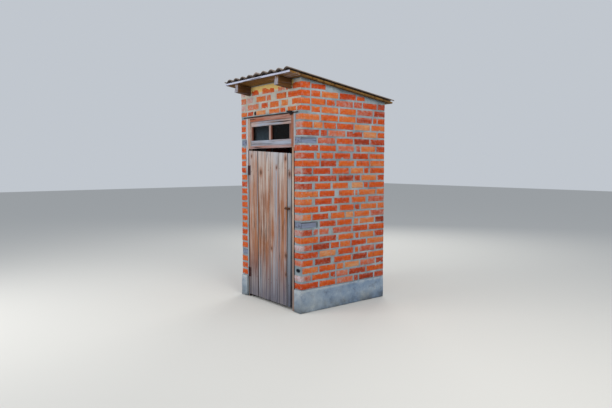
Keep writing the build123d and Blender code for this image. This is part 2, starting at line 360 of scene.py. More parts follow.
def brick_finish():
    """Fired clay, each brick of its own tone, streaked and sooty, with films of mortar left on it."""
    f = Finish("brick")
    streaks = f.noise(1.0, 5, 0.68, f.stretched(11, 11, 34))
    blotches = f.noise(17, 5, 0.65, seed=1.0)
    fine = f.noise(85, 4, 0.7)
    tone = f.mark("tone") + (streaks - 0.5) * 0.75 + (blotches - 0.5) * 0.45 + (fine - 0.5) * 0.25
    f.colour = f.ramp(tone.clamped(), CLAY)
    kiln_marks = f.noise(1.0, 4, 0.6, f.stretched(30, 30, 5), seed=4.0).above(0.60, 0.68) * 0.45
    soot = f.noise(44, 5, 0.7, seed=3.0).above(0.60, 0.68) * 0.6
    f.coat((kiln_marks + soot).clamped(), SOOT)
    bloom = f.noise(26, 6, 0.72, seed=7.0) + f.mark("smear") * 0.13
    f.coat(bloom.above(0.52, 0.70) * 0.55, CLAY_BLOOM)
    rims = f.mark("rim") * f.noise(38, 4, 0.7, seed=2.0).above(0.48, 0.66) * 0.55
    film = bloom.above(0.66, 0.80) * 0.5 + rims
    f.coat(film.clamped(), MORTAR_FILM)
    smeared = f.mark("smear").above(1.6, 3.4) * f.noise(34, 5, 0.7, seed=9.0).above(0.42, 0.60) * 0.75
    f.coat(smeared, MORTAR_SMEAR)
    relief = f.relief(fine * 0.6 + f.cells(120) * 0.4 + film * 0.5, 0.0025)
    return f.finish(0.88 + (fine - 0.5) * 0.2, 0.06, Normal=relief)


def mortar_finish():
    """Coarse grey mortar with sand in it, stained in patches, yellow where it is earthy, and painted dark as
    shade in its hollows.
    """
    f = Finish("mortar")
    sand = f.noise(210, 3, 0.7)
    f.colour = f.blend(f.noise(6, 5, 0.6).above(0.35, 0.65), MORTAR_DARK, MORTAR_PALE)
    f.coat(f.noise(2.3, 3, 0.5, seed=4.0).above(0.50, 0.72) * 0.4, MORTAR_STAIN)
    earthy = f.mark("earthy") + (f.noise(9, 4, 0.6, seed=6.0) - 0.5) * 0.6
    f.coat(earthy.above(0.05, 0.45) * 0.75, EARTHY)
    f.coat(earthy.above(0.50, 0.80) * 0.9, YELLOW_EARTH)
    limed = f.mark("limed") * (f.noise(14, 4, 0.6, seed=8.0).above(0.25, 0.60) * 0.5 + 0.5)
    f.coat(limed, LIME)
    # Painted shade: near black where the mortar lies in a hollow or in the slot over the lintel
    f.coat(f.mark("hollow"), HOLLOW_SHADE)
    f.coat(sand.above(0.58, 0.72) * 0.45, MORTAR_SAND)
    relief = f.relief(sand * 0.5 + f.noise(45, 5, 0.65), 0.004)
    return f.finish(0.93, 0.08, Normal=relief)


def concrete_finish():
    """Poured concrete with blow holes, paler at its front end and darker and damp towards the ground."""
    f = Finish("concrete")
    height = f.height()
    behind_front = f.depth() - FRONT_FACE
    clouds = f.noise(6, 7, 0.68)
    sand = f.noise(170, 3, 0.7)
    stains = f.noise(15, 6, 0.7, seed=7.0)
    f.colour = f.ramp(clouds, CONCRETE)
    f.coat(stains.above(0.56, 0.66) * 0.45, CONCRETE_STAIN)
    top_rim = (height + (clouds - 0.5) * 0.06).above(BASE_TOP - 0.035, BASE_TOP - 0.010)
    f.coat(top_rim * stains.above(0.35, 0.5) * 0.6, CONCRETE_RIM)
    front_end = (1 - behind_front.above(-0.02, 0.75)) * clouds.above(0.30, 0.50)
    f.coat(front_end * 0.5, CONCRETE_FRONT)
    corner = (1 - behind_front.above(-0.01, 0.05)) * stains.above(0.42, 0.55)
    upper = height.above(BASE_TOP - 0.15, BASE_TOP - 0.03)
    f.coat(corner * upper * 0.6, CONCRETE_CORNER)
    f.coat(sand.above(0.55, 0.72) * 0.5, CONCRETE_SAND)
    damp = (1 - height.above(0.0, 0.13)) * f.noise(9, 4, 0.6, seed=2.0).above(0.3, 0.6)
    f.coat(damp * 0.7, DAMP_FOOT)
    holes = f.cells(55).above(0.0, 0.16)
    relief = f.relief(holes * 0.7 + sand * 0.35 + f.noise(20, 5, 0.6, seed=1.0), 0.006)
    return f.finish(0.88, 0.1, Normal=relief)


class Grain:
    """The grain of bare old wood: how streaked, cracked and furrowed it is at each place."""

    def __init__(self, finish, along):
        fine, slow, run = 46.0, 9.0, 0.035
        stretch = [run if axis == along else 1.0 for axis in "xyz"]
        board = finish.mark("board")
        place = finish.stretched(*(fine * share for share in stretch))
        wide_place = finish.stretched(*(slow * share for share in stretch))
        self.fibre = finish.noise(3.2, 5, 0.65, place, seed=board, distortion=0.25)
        self.streak = finish.noise(1.0, 4, 0.6, place, seed=board + 3.1)
        self.wide = finish.noise(1.0, 4, 0.6, wide_place, seed=board + 9.3)
        self.patch = finish.noise(3.0, 4, 0.6, seed=board + 5.0)
        self.crack = finish.noise(1.15, 3, 0.5, place, seed=board + 14.0).above(0.615, 0.660)
        self.furrow = self.fibre.above(0.54, 0.70)


def wood_finish(name, along, tones, greyness, bleach=None, extra=None):
    """Bare old wood. Its fresh and brown streaks go grey with weather, and first where bleach says."""
    fresh, brown, grey, dark = tones
    f = Finish(name)
    grain = f.grain = Grain(f, along)
    f.colour = f.blend(grain.wide.above(0.38, 0.60), brown, fresh)
    weather = (grain.streak - 0.5) * 3.4 + (grain.patch - 0.5) * 1.4 + greyness
    if bleach:
        weather = weather + bleach(f)
    f.coat(weather.clamped(), grey)
    if extra:
        extra(f)
    f.coat(grain.furrow * 0.5, dark)
    f.coat(grain.crack * 0.85, CRACK)
    relief = f.relief(grain.fibre * 0.5 - grain.furrow * 0.4 - grain.crack * 1.1, 0.0035)
    return f.finish(0.84, 0.2, Normal=relief)


def near_front(y, reach):
    """Bleaching of a piece's end or edge that lies in front of a place in depth."""
    def bleach(f):
        return 1.4 - (f.depth() - y).above(reach * 0.4, reach) * 1.7
    return bleach


def towards_latch(f):
    """Less than half on the leaf's hinge side and whole on its latch side."""
    return f.across().above(-0.22, 0.10) * 0.65 + 0.35


def leaf_weather(f):
    """The leaf is grey near its head and foot, and most on its latch strip."""
    height = f.height()
    head = height.above(LEAF_TOP - 0.62, LEAF_TOP - 0.02) * towards_latch(f) * 0.85
    foot = (1 - height.above(0.05, 0.42)) * 0.85
    return head + foot + f.mark("strip") * 0.75


def leaf_marks(f):
    """Grey streaks, a pale head, a cold latch strip, a dark foot, and knots with rings round them."""
    grain, across, height = f.grain, f.across(), f.height()
    cool = grain.wide.above(0.49, 0.57) * grain.streak.above(0.40, 0.54) * 0.75
    f.coat(cool, COOL_STREAK)
    streaky = towards_latch(f) * (grain.streak.above(0.38, 0.58) * 0.65 + 0.1)
    f.coat(height.above(LEAF_TOP - 0.46, LEAF_TOP - 0.04) * streaky, PALE_HEAD)
    f.coat(height.above(LEAF_TOP - 0.16, LEAF_TOP - 0.03) * streaky, RAINED_HEAD)
    cold = f.mark("strip") * (1 - height.above(0.95, 1.30) * grain.wide.above(0.42, 0.58) * 0.6) * 0.9
    f.coat(cold, f.blend(grain.wide, STRIP_DARK, STRIP_PALE))
    damp = (1 - height.above(0.10, 0.66)) * (1.55 - grain.streak * 1.3)
    f.coat(damp.clamped() * 0.9, LEAF_FOOT)
    fade = 0.20
    for place, lowest, highest, width in WASHED:
        off = abs(across - place) + (grain.streak - 0.5) * width
        inside = height.above(lowest, lowest + fade) * (1 - height.above(highest - fade, highest))
        f.coat((1 - off.above(width * 0.5, width)) * inside * 0.65, WASHED_GREY)
    for x, z, size in KNOTS:
        shift = f.vector_step("SUBTRACT", f.place, (x, 0.0, z))
        flat = f.vector_step("MULTIPLY", shift, (1.1 / size, 0.0, 0.7 / size))
        rings = f.vector_step("LENGTH", flat, output="Value") + (grain.patch - 0.5) * 0.4
        f.coat((1 - rings.above(0.5, 1.1)) * 0.55, KNOT_RING)
        f.coat((1 - rings.above(0.2, 0.5)) * 0.8, KNOT_HEART)
    hasp_low, hasp_high = HASP
    below = height.above(hasp_low.z - 0.16, hasp_low.z) * (1 - height.above(hasp_high.z, hasp_high.z + 0.02))
    beside = across.above(hasp_low.x - 0.03, hasp_low.x + 0.03) * grain.streak.above(0.35, 0.55)
    f.coat(below * beside * 0.7, RUST_STAIN)
    # Painted shade in the seams between the planks, wider than the gaps themselves
    for number, width in enumerate(SEAMS):
        off = abs(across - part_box(f"door_plank_{number + 1}")[1].x)
        seam_shade = 1 - (off + (grain.patch - 0.5) * 0.006).above(width * 0.6, width)
        f.coat(seam_shade * 0.85, SEAM_SHADE)


def hinge_jamb(f):
    """The left post is painted dark beside the leaf, as shade in the gap there, and pale beside the window.
    """
    # Painted shade on the post beside the leaf, below the transom
    low = 1 - f.height().above(TRANSOM - 0.02, TRANSOM)
    beside_leaf = f.across().above(0.005 - FRAME_HALF, 0.007 - FRAME_HALF) * low
    f.coat(beside_leaf * 0.95, HINGE_GAP_SHADE)


def window_jamb(f):
    """The right post is reddish beside the window, with a little of its old paint, and dark low down; below
    the transom its right side is painted dark as shade in the gap beside the bricks.
    """
    beside = f.height().above(TRANSOM - 0.01, TRANSOM + 0.02)
    red = f.blend(f.grain.streak.above(0.35, 0.65), *JAMB_RED)
    f.coat(beside * 0.85, red)
    low = 1 - f.height().above(0.45, 1.00)
    f.coat(low * f.grain.wide.above(0.30, 0.60) * 0.7, JAMB_FOOT)
    # Painted shade on the post's right side, where it meets the bricks
    side = f.across().above(FRAME_HALF - 0.006, FRAME_HALF - 0.002) * (1 - beside)
    f.coat(side * 0.95, JAMB_SIDE_SHADE)


def worn_ends(f):
    """The top rail is browner towards its ends."""
    off = abs(f.across() + 0.02 + (f.grain.streak - 0.5) * 0.10).above(0.17, 0.30) * 0.7
    f.coat(off, f.blend(f.grain.wide.above(0.4, 0.6), *RAIL_ENDS))


def painted_beyond(x):
    """Old red paint is left to the right of a place across."""
    def paint(f):
        f.coat(f.across().above(x, x + 0.006) * 0.85, OLD_PAINT)
    return paint


def rust_finish(name, dark, brown, bright):
    """Steel rusted all over in fine scales, from dark to bright."""
    f = Finish(name)
    scale = f.noise(60, 6, 0.7)
    f.colour = f.ramp(scale, ((0.30, dark), (0.50, brown), (0.72, bright)))
    relief = f.relief(scale + f.noise(300, 3, 0.7) * 0.5, 0.0015)
    return f.finish(0.62 + scale * 0.3, 0.3, Normal=relief, Metallic=0.2)


def sheet_finish():
    """Old fibre cement: brown and mossy in the valleys, painted pale and pinkish on the crests as a
    highlight, with lichen.
    """
    f = Finish("fibre_cement")
    over_deck = f.height() + f.depth() * ROOF_FALL - deck_height(0.0)
    clouds = f.noise(3.5, 6, 0.62)
    fibres = f.noise(120, 4, 0.7)
    streaks = f.noise(1.0, 4, 0.6, f.stretched(22, 1.3, 22))
    f.colour = f.ramp(clouds * 0.55 + streaks * 0.45, SHEET)
    # Painted highlight: the higher a place on a wave, the paler
    crest = (over_deck + (fibres - 0.5) * 0.010 + (clouds - 0.5) * 0.016).above(0.042, 0.062)
    f.coat(crest * 0.75, SHEET_CREST_HIGHLIGHT)
    lichen = f.noise(30, 5, 0.7, seed=5.0).above(0.62, 0.68)
    f.coat(lichen * 0.6, LICHEN)
    moss = f.noise(18, 5, 0.7, seed=8.0).above(0.60, 0.68) * (1 - crest) * clouds.above(0.35, 0.6)
    f.coat(moss * 0.8, MOSS)
    relief = f.relief(fibres * 0.4 + lichen * 0.5 + moss, 0.003)
    return f.finish(0.9, 0.2, Normal=relief)


def glass_finish(name, pane, haze, thickness):
    """Thin old window glass, streaked by rain, with a haze of dust that is thickest low down and left off
    near the pane's left edge as painted shadow of the frame.
    """
    f = Finish(name)
    low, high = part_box(pane)
    dust = f.noise(30, 5, 0.7) * 0.5 + f.noise(1.0, 4, 0.6, f.stretched(60, 60, 5)) * 0.5
    lower = 1 - f.height().above(low.z, high.z)
    # Painted shadow of the frame: no haze near the pane's left edge
    clear_of_frame_shadow = f.across().above(low.x + 0.042, low.x + 0.090)
    cover = (dust.above(0.35, 0.75) * 0.7 + 0.3) * (lower * 0.9 + 0.1) * clear_of_frame_shadow * thickness
    f.colour = f.blend(cover.clamped(), CLEAN_GLASS, haze)
    alpha = (cover * 0.4 + 0.62).clamped()
    return f.finish(0.12 + dust.above(0.4, 0.8) * 0.2, 0.07, Alpha=alpha)


# Large primes and bit masks that make unrelated numbers out of neighbouring ones
PRIMES = (73856093, 19349663, 83492791)
SEED_PRIME = 2654435
MIXER = 0x27D4EB2D
FOUR_BYTES = 0xFFFFFFFF
THREE_BYTES = 0xFFFFFF


def scattered(values):
    """Mixes whole numbers into numbers from 0 to 1 that look unrelated."""
    values = (values ^ 61) ^ (values >> 16)
    values = (values * 9) & FOUR_BYTES
    values = values ^ (values >> 4)
    values = (values * MIXER) & FOUR_BYTES
    values = values ^ (values >> 15)
    return (values & THREE_BYTES) / float(THREE_BYTES)


def lumps(points, size, seed):
    """Smooth lumps of a size, from -1 to 1, at each of many points."""
    cell = np.asarray(points, dtype=float) / size
    low = np.floor(cell).astype(np.int64)
    part = cell - low
    part = part * part * (3 - 2 * part)
    total = np.zeros(len(cell))
    for corner in range(8):
        step = np.array([corner & 1, (corner >> 1) & 1, (corner >> 2) & 1])
        key = np.bitwise_xor.reduce((low + step) * PRIMES, axis=1) ^ (seed * SEED_PRIME)
        weight = np.prod(np.where(step == 1, part, 1 - part), axis=1)
        total += weight * scattered(key & FOUR_BYTES)
    return total * 2 - 1


def rough(points, size, seed):
    """Lumps with finer lumps on them."""
    coarse = lumps(points, size, seed) * 0.6
    return coarse + lumps(points, size / 2.3, seed + 1) * 0.28 + lumps(points, size / 5, seed + 2) * 0.12


def rising(distance, over):
    """From 0 to 1 at each place, as a distance grows from nothing to a given length."""
    return np.clip(distance / over, 0, 1)


def set_marks(mesh, marks):
    """Keeps numbers on a mesh, one for each of its points, for the finish to use."""
    for mark, values in marks.items():
        layer = mesh.attributes.new(mark, "FLOAT", "POINT")
        layer.data.foreach_set("value", np.asarray(values, dtype=np.float32))


def mesh_object(name, mesh):
    piece = bpy.data.objects.new(name, mesh)
    bpy.context.scene.collection.objects.link(piece)
    return piece


def mesh_piece(name, points, faces, material, marks):
    """A smooth piece made of points and faces."""
    mesh = bpy.data.meshes.new(name)
    mesh.from_pydata([tuple(p) for p in points], [], [tuple(f) for f in faces])
    mesh.validate()
    mesh.materials.append(material)
    set_marks(mesh, marks)
    mesh.shade_smooth()
    mesh.update()
    return mesh_object(name, mesh)


def cuts(length, cell, arris):
    """Places across a side from end to end, with one close to each end for the rounded edge."""
    count = max(1, round((length - 2 * arris) / cell))
    return [0.0] + [arris + (length - 2 * arris) * i / count for i in range(count + 1)] + [length]


def block_shell(sides):
    """Points of a block's surface as whole-number places on a grid, and its faces."""
    counts = [len(side) for side in sides]
    index = {}
    faces = []
    for axis in range(3):
        a, b = (axis + 1) % 3, (axis + 2) % 3
        for end in (0, counts[axis] - 1):
            for i in range(counts[a] - 1):
                for j in range(counts[b] - 1):
                    square = []
                    for di, dj in ((0, 0), (1, 0), (1, 1), (0, 1)):
                        place = [0, 0, 0]
                        place[axis], place[a], place[b] = end, i + di, j + dj
                        square.append(index.setdefault(tuple(place), len(index)))
                    faces.append(square if end else square[::-1])
    return list(index), faces


def rounded(local, size, arris):
    """Pulls a block's edges and corners in to a round arris."""
    half = size / 2
    centred = local - half
    core = np.clip(centred, arris - half, half - arris)
    out = centred - core
    reach = np.linalg.norm(out, axis=1)[:, None]
    turned = np.where(reach > 0, out / np.maximum(reach, TINY) * arris, 0)
    return core + turned + half


def brick_block(low, high, seed):
    """One brick with worn arrises, between two corners: its points, faces and which points are on a rim."""
    low = np.asarray(low)
    size = np.asarray(high) - low
    arris = BRICK_ARRIS * (0.7 + 0.6 * ((seed * 37) % 11) / 10)
    sides = [cuts(length, BRICK_CELL, arris) for length in size]
    grid, faces = block_shell(sides)
    local = np.array([[sides[axis][place[axis]] for axis in range(3)] for place in grid])
    points = rounded(local, size, arris) + low
    inward = low + size / 2 - points
    inward /= np.maximum(np.linalg.norm(inward, axis=1), TINY)[:, None]
    edge = np.minimum(local, size - local)
    rim = (np.sort(edge, axis=1)[:, 1] < arris * 1.5).astype(float)
    worn = (rough(points, FACE_LUMP, seed) * 0.5 + 0.5) * FACE_WEAR
    chipped = rim * np.maximum(rough(points, CHIP_LENGTH, seed + 5), 0) * CHIP_DEPTH
    return points + inward * (worn + chipped)[:, None], faces, rim


# Mortar left on the piers' front faces and round their corners: on whole bricks, and more of it on cut ones
PIER_SMEARS = {
    "bricks_left": ((-0.3, 0.0, 0.3), (0.0, 0.5)),
    "bricks_right": ((0.0, 0.4, 0.8), (0.8, 1.8, 2.6)),
}
NO_SMEARS = ((0.0,), (0.0,))
CORNER_SMEAR = 0.055
SHORTEST_WHOLE = BRICK_LENGTH * 0.8


def joined_bricks(name, bricks, material):
    """Many bricks as one mesh. Each is a pair of corners, a tone and how much mortar is smeared on it."""
    points, faces, tones, rims, smears = [], [], [], [], []
    pier_smears = PIER_SMEARS.get(name, NO_SMEARS)
    start = 0
    for number, (low, high, tone, smear) in enumerate(bricks):
        block, block_faces, rim = brick_block(low, high, number + 1)
        points.append(block)
        faces += [[start + i for i in face] for face in block_faces]
        tones.append(np.full(len(block), tone))
        cut = high[1] - low[1] < SHORTEST_WHOLE
        at_corner = rising(FRONT_FACE + CORNER_SMEAR - block[:, 1], CORNER_SMEAR)
        smears.append(smear + at_corner * rng.choice(pier_smears[cut]))
        rims.append(rim)
        start += len(block)
    marks = {"tone": np.concatenate(tones), "rim": np.concatenate(rims), "smear": np.concatenate(smears)}
    return mesh_piece(name, np.concatenate(points), faces, material, marks)


def shell_of(node):
    """A copy of a CAD node's surface with its flat faces made whole."""
    shell = bmesh.new()
    shell.from_mesh(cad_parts[node].data)
    bmesh.ops.remove_doubles(shell, verts=shell.verts, dist=TOUCHING)
    bmesh.ops.dissolve_limit(shell, angle_limit=math.radians(1), verts=shell.verts, edges=shell.edges)
    return shell


def sliced(shell, axis, step):
    """Cuts a shell across one axis at even steps, so that it can bend there."""
    places = [v.co[axis] for v in shell.verts]
    low, high = min(places), max(places)
    count = max(1, round((high - low) / step))
    normal = Vector([float(i == axis) for i in range(3)])
    for number in range(1, count):
        at = normal * (low + (high - low) * number / count)
        geometry = shell.verts[:] + shell.edges[:] + shell.faces[:]
        bmesh.ops.bisect_plane(shell, geom=geometry, plane_co=at, plane_no=normal)


# Edges that turn more than this get an arris, and edges that turn more than the next are shaded as sharp
ARRIS_ANGLE = math.radians(30)
CREASE_ANGLE = math.radians(38)
# Keeps the grain of one board apart from the next
BOARD_SHIFT = 1.37


def weathered(node, material, steps, arris, depth, lump, body, seed, slot):
    """Replaces a CAD node by the same form with worn arrises and an uneven surface, inside the solid."""
    shell = shell_of(node)
    sharp = [e for e in shell.edges if len(e.link_faces) == 2 and e.calc_face_angle(0) > ARRIS_ANGLE]
    bmesh.ops.bevel(
        shell, geom=sharp, offset=arris, segments=2, profile=0.6, affect="EDGES", clamp_overlap=True
    )
    for axis, step in enumerate(steps):
        if step:
            sliced(shell, axis, step)
    shell.normal_update()
    points = np.array([v.co for v in shell.verts])
    worn = (rough(points / np.asarray(lump), 1.0, seed) * 0.5 + 0.5) * depth
    for vertex, amount in zip(shell.verts, worn):
        vertex.co -= vertex.normal * amount
    mesh = bpy.data.meshes.new(node + "_worn")
    shell.to_mesh(mesh)
    shell.free()
    mesh.materials.clear()
    mesh.materials.append(material)
    every = np.ones(len(mesh.vertices))
    set_marks(mesh, {"board": every * seed * BOARD_SHIFT, "strip": every * (node == "door_plank_5")})
    mesh.shade_smooth()
    mesh.set_sharp_from_angle(angle=CREASE_ANGLE)
    piece = mesh_object(node + "_worn", mesh)
    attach(piece, body)
    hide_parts(node)
    return piece


def dress(node, material):
    """Gives a CAD node that keeps its own shape a better material."""
    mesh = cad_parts[node].data
    mesh.materials.clear()
    mesh.materials.append(material)


# Tones of the woods: fresh, brown, grey and dark
DARK = (0.030, 0.018, 0.012)
DOOR_TONES = ((0.400, 0.165, 0.078), (0.190, 0.072, 0.034), (0.440, 0.370, 0.335), DARK)
POST_TONES = ((0.400, 0.230, 0.150), (0.260, 0.130, 0.085), (0.510, 0.450, 0.410), DARK)
RIGHT_POST_TONES = ((0.420, 0.225, 0.135), (0.270, 0.125, 0.075), (0.500, 0.405, 0.335), DARK)
HEAD_TONES = ((0.300, 0.092, 0.048), (0.160, 0.046, 0.028), (0.380, 0.270, 0.245), DARK)
TRANSOM_TONES = ((0.290, 0.108, 0.070), (0.170, 0.064, 0.046), (0.325, 0.255, 0.265), DARK)
SASH_TONES = ((0.270, 0.185, 0.150), (0.180, 0.115, 0.095), (0.295, 0.330, 0.410), DARK)
STILE_TONES = ((0.290, 0.110, 0.068), (0.170, 0.060, 0.040), (0.360, 0.290, 0.270), DARK)
BLOCK_TONES = ((0.130, 0.120, 0.130), (0.080, 0.082, 0.100), (0.185, 0.220, 0.320), (0.010, 0.011, 0.015))
RAFTER_TONES = ((0.170, 0.078, 0.022), (0.085, 0.038, 0.012), (0.260, 0.250, 0.290), (0.012, 0.008, 0.006))
BOARD_TONES = ((0.170, 0.080, 0.012), (0.095, 0.042, 0.008), (0.200, 0.130, 0.050), (0.012, 0.008, 0.004))
EAVE_TONES = ((0.180, 0.085, 0.014), (0.100, 0.045, 0.010), (0.450, 0.475, 0.600), (0.030, 0.024, 0.022))
rafter_ends = near_front(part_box("rafter_left")[0].y, 0.016)
eave_edge = near_front(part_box("eave_board")[0].y, 0.010)
mullion_paint = painted_beyond(MULLION_MIDDLE + 0.010)
stile_paint = painted_beyond(LEFT_STILE_EDGE - 0.014)

# Each wood: the way of its grain, its tones, how grey it is, where it bleaches first and what marks it
WOODS = {
    "door_planks": ("z", DOOR_TONES, 0.20, leaf_weather, leaf_marks),
    "door_ledges": ("x", DOOR_TONES, 0.20),
    "frame_post_left": ("z", POST_TONES, 0.45, None, hinge_jamb),
    "frame_post_right": ("z", RIGHT_POST_TONES, 0.55, None, window_jamb),
    "frame_head": ("x", HEAD_TONES, 0.35),
    "frame_transom": ("x", TRANSOM_TONES, 0.55),
    "sash_rails": ("x", SASH_TONES, 0.80),
    "sash_top_rail": ("x", SASH_TONES, 0.75, None, worn_ends),
    "sash_stiles": ("z", STILE_TONES, 0.15),
    "sash_mullion": ("z", STILE_TONES, 0.70, None, mullion_paint),
    "sash_stile_left": ("z", STILE_TONES, 0.15, None, stile_paint),
    "nailing_blocks": ("y", BLOCK_TONES, 0.75),
    "rafters": ("y", RAFTER_TONES, 0.20, rafter_ends),
    "roof_boards": ("x", BOARD_TONES, 0.15),
    "eave_board": ("x", EAVE_TONES, 0.10, eave_edge),
}
brick = brick_finish()
mortar = mortar_finish()
finishes = {"concrete": concrete_finish()}
for name, wood in WOODS.items():
    finishes[name] = wood_finish(name, *wood)
rust = rust_finish("rusty_steel", (0.020, 0.013, 0.011), (0.075, 0.030, 0.016), (0.230, 0.075, 0.024))
hinge_steel = rust_finish("hinge_steel", (0.020, 0.008, 0.010), (0.046, 0.015, 0.016), (0.100, 0.036, 0.028))
dark_steel = rust_finish("dark_steel", (0.004, 0.005, 0.008), (0.012, 0.012, 0.016), (0.055, 0.032, 0.024))
sheet = sheet_finish()
hazy_glass = glass_finish("hazy_glass", "window_pane_left", (0.034, 0.054, 0.070), 1.3)
clear_glass = glass_finish("clear_glass", "window_pane_right", (0.010, 0.010, 0.007), 0.4)

DRESSED = (
    (mortar, ("wall_left", "wall_right", "wall_back", "wall_over_door")),
    (dark_steel, ("lintel_angle", "lintel_bar_eye")),
    (hinge_steel, ("hinge_upper_fixed", "hinge_upper_moving", "hinge_lower_fixed", "hinge_lower_moving")),
    (rust, ("door_hasp",)),
    (sheet, ("roof_sheet_left", "roof_sheet_right")),
    (hazy_glass, ("window_pane_left",)),
    (clear_glass, ("window_pane_right",)),
)
for material, nodes in DRESSED:
    for node in nodes:
        dress(node, material)

# How a piece wears: the steps at which it can bend along each axis, its arris, how deep it wears, and how
# long its lumps are along each axis
WEAR = {
    "upright": ((None, None, 0.05), 0.003, 0.0018, (0.05, 0.05, 0.05)),
    "cross": ((0.05, None, None), 0.003, 0.0018, (0.05, 0.05, 0.05)),
    "block": ((0.03, 0.03, 0.02), 0.004, 0.004, (0.02, 0.08, 0.02)),
    "rafter": ((None, 0.05, 0.04), 0.004, 0.003, (0.05, 0.20, 0.05)),
    "eave": ((0.05, 0.05, None), 0.003, 0.002, (0.15, 0.04, 0.04)),
    "boards": ((0.08, None, None), 0.003, 0.002, (0.15, 0.04, 0.04)),
    "concrete": ((0.03, 0.03, 0.03), 0.008, 0.005, (0.07, 0.07, 0.07)),
    "plank": ((0.02, None, 0.03), 0.0025, 0.0025, (0.02, 0.02, 0.40)),
    "ledge": ((0.04, None, 0.02), 0.003, 0.002, (0.20, 0.04, 0.03)),
}
PLANKS = [f"door_plank_{number}" for number in range(1, 6)]
LEDGES = ("door_ledge_lower", "door_ledge_upper", "door_brace")
CONCRETE_NODES = ("plinth_left", "plinth_right", "plinth_back", "floor_slab")
# What wears: how, its slot, its body, the first node's seed, the nodes, and the finish of those that have
# none of their own
WORN = (
    ("upright", "frame_wood", "building", 11, ("frame_post_left", "frame_post_right"), None),
    ("cross", "frame_wood", "building", 13, ("frame_head", "frame_transom"), None),
    ("cross", "sash_wood", "building", 15, ("sash_top_rail", "sash_bottom_rail"), "sash_rails"),
    ("upright", "sash_wood", "building", 17, ("sash_stile_left", "sash_stile_right"), "sash_stiles"),
    ("upright", "sash_wood", "building", 19, ("sash_mullion",), None),
    ("block", "block_wood", "building", 31, NOG_NODES, "nailing_blocks"),
    ("rafter", "roof_wood", "building", 41, ("rafter_left", "rafter_right"), "rafters"),
    ("eave", "roof_wood", "building", 45, ("eave_board",), None),
    ("boards", "roof_wood", "building", 46, ("roof_boards",), None),
    ("concrete", "concrete", "building", 51, CONCRETE_NODES, "concrete"),
    ("plank", "door_wood", "door", 61, PLANKS, "door_planks"),
    ("ledge", "door_wood", "door", 70, LEDGES, "door_ledges"),
)
for wear, slot, body, first_seed, nodes, shared in WORN:
    for number, node in enumerate(nodes):
        material = finishes[node if node in finishes else shared]
        weathered(node, material, *WEAR[wear], body, first_seed + number, slot)

# The shortest gap at a course's end that gets a brick, the shortest bricks there, beside a rafter and at the
# rear corner, and the lowest brick under the roof
SHORTEST_GAP = 0.03
SHORTEST_AT_END = 0.05
SHORTEST_BY_RAFTER = 0.04
SHORTEST_AT_REAR = 0.02
LOWEST_UNDER_DECK = 0.03
CUT_SHARES = (0.36, 0.5, 0.72)

# Kinds of brick: how pale, how much mortar is smeared on it, and how common it is
KINDS = {
    "burnt": (0.10, 0.0, 0.2),
    "dark": (0.26, -0.2, 1.5),
    "brown": (0.36, 0.2, 3.5),
    "red": (0.47, -0.4, 5.0),
    "orange": (0.61, -0.4, 6.0),
    "bright": (0.69, -0.8, 4.0),
    "pinkish": (0.62, 1.2, 1.5),
    "mottled": (0.44, 1.0, 2.5),
    "smeared": (0.70, 2.4, 0.1),
    "tan": (0.79, 0.1, 3.5),
    "pale": (0.94, 0.3, 1.0),
}

# The right wall's courses from the base up, each from the front corner back, in tenths of a brick. A gap is
# what a joint has beyond the usual.
RIGHT_WALL = (
    "9.4 red, 9.4 orange, 10 pinkish, 2.6 brown, 9.4 dark, 9 brown",
    "5.2 mottled, 10 orange, 2.8 red, 7 pinkish, 10.6 brown, 12 orange",
    "8.8 tan, 9.4 orange, 4.2 tan, 9.2 pale, 9.6 pinkish, 9 brown",
    "6.4 orange, 0.5 gap, 9 dark, 1.4 gap, 10.6 orange, 9.2 dark, 12 bright",
    "9.4 red, 9.4 pale, 0.9 gap, 9.2 red, 0.5 gap, 2.2 orange, 9.8 mottled, 9 brown",
    "5.8 mottled, 9.4 dark, 5 orange, 6.2 tan, 9.4 red, 12 tan",
    "9.4 bright, 9.8 brown, 0.5 gap, 9.4 bright, 0.4 gap, 2.2 orange, 9 tan, 9 brown",
    "6 brown, 2.6 mottled, 5.4 pinkish, 1.7 gap, 11.4 mottled, 9.6 red, 12 orange",
    "1.2 gap, 9.4 red, 9.2 orange, 0.5 gap, 2.8 tan, 9.6 tan, 9 dark",
    "5.4 tan, 9.2 red, 0.7 gap, 8.2 bright, 4.6 pale, 9.8 tan, 12 mottled",
    "9.4 orange, 0.3 gap, 10 red, 0.9 gap, 8.6 orange, 3 brown, 10.4 tan, 9 tan",
    "6 tan, 0.9 gap, 9.6 red, 0.6 gap, 9.4 red, 0.5 gap, 9 bright, 0.9 gap, 12 mottled",
    "9.4 tan, 8.8 orange, 1.7 gap, 9.4 bright, 1.6 tan, 11 tan, 9 tan",
    "6 brown, 0.7 gap, 9 orange, 0.5 gap, 9.2 bright, 1.7 gap, 7 pale, 2.6 orange, 12 orange",
    "9.4 red, 9.8 brown, 0.6 gap, 9 dark, 3.6 brown, 10 tan, 9 red",
    "5.8 brown, 9.8 red, 0.5 gap, 9.8 orange, 0.5 gap, 7.8 tan, 3 red, 12 orange",
    "10 orange, 9 brown, 0.7 gap, 9.6 bright, 0.6 gap, 8.2 orange, 12 tan",
    "7 red, 0.7 gap, 2 tan, 7 orange, 9.6 red, 0.5 gap, 10 red, 12 bright",
    "9.4 red, 9.4 orange, 0.7 gap, 9.6 pinkish, 0.5 gap, 2.6 mottled, 9.2 tan, 9 red",
)

